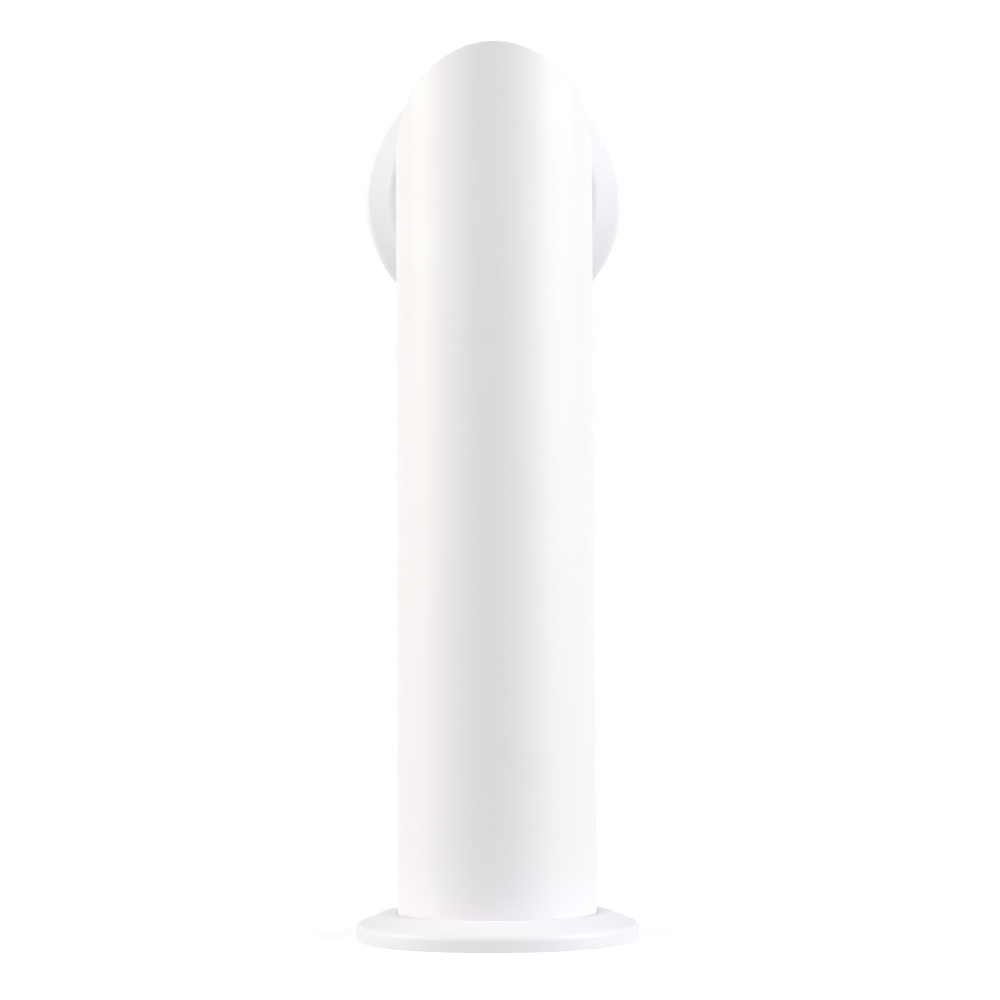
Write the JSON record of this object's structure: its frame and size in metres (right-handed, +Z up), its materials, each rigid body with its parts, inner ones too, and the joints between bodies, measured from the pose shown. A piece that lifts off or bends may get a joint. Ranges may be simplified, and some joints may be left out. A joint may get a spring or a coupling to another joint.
{
  "type": "decorative stove pipe",
  "caption": "White angled decorative stove pipe: an upright round pipe with a sharp mitred bend back to the wall, and a pressed ring rosette at the foot and at the wall.",
  "frame": {"origin": "centre of the base rosette, on the plane that it stands on, on the upright pipe's axis", "axes": "+Z up along the upright pipe, +Y from the upright pipe back to the wall, +X to the right seen from the room"},
  "size_m": [0.178, 0.259, 0.583],
  "materials": {
    "pipe_coating": "white gloss coating on rolled sheet steel",
    "rosette_coating": "white gloss coating on pressed sheet steel"
  },
  "bodies": {
    "root": {"upright_pipe": "pipe_coating", "wall_pipe": "pipe_coating", "base_rosette": "rosette_coating", "wall_rosette": "rosette_coating"}
  },
  "joints": []
}
